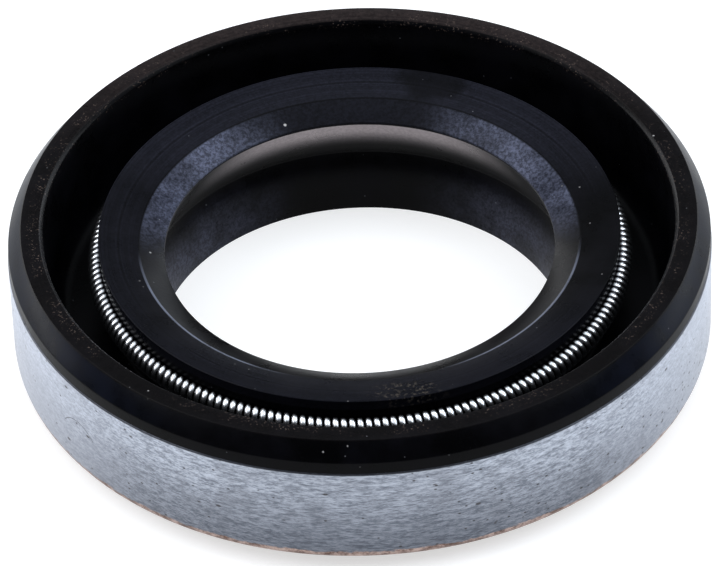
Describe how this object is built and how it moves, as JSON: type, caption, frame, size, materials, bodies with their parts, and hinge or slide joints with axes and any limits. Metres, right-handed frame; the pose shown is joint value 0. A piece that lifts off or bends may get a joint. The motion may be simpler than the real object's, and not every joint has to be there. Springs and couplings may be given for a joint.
{
  "type": "radial shaft seal",
  "caption": "Metal-cased radial shaft seal with a rubber nose, a spring-loaded sealing lip and a dust lip, pressed into a housing round a turning shaft.",
  "frame": {"origin": "on the shaft axis, in the plane of the dust lip's tip, which is the seal's lowest point", "axes": "+Z along the shaft axis, from the back face towards the oil side with the garter spring; X and Y lie across the seal, which is round"},
  "size_m": [0.0382, 0.0382, 0.0088],
  "materials": {
    "case_steel": "ground, with fine marks round the outside",
    "black_rubber": "moulded, satin",
    "spring_wire": "bright drawn wire"
  },
  "bodies": {
    "root": {"metal_case": "case_steel", "sealing_element": "black_rubber", "garter_spring": "spring_wire"}
  },
  "joints": []
}
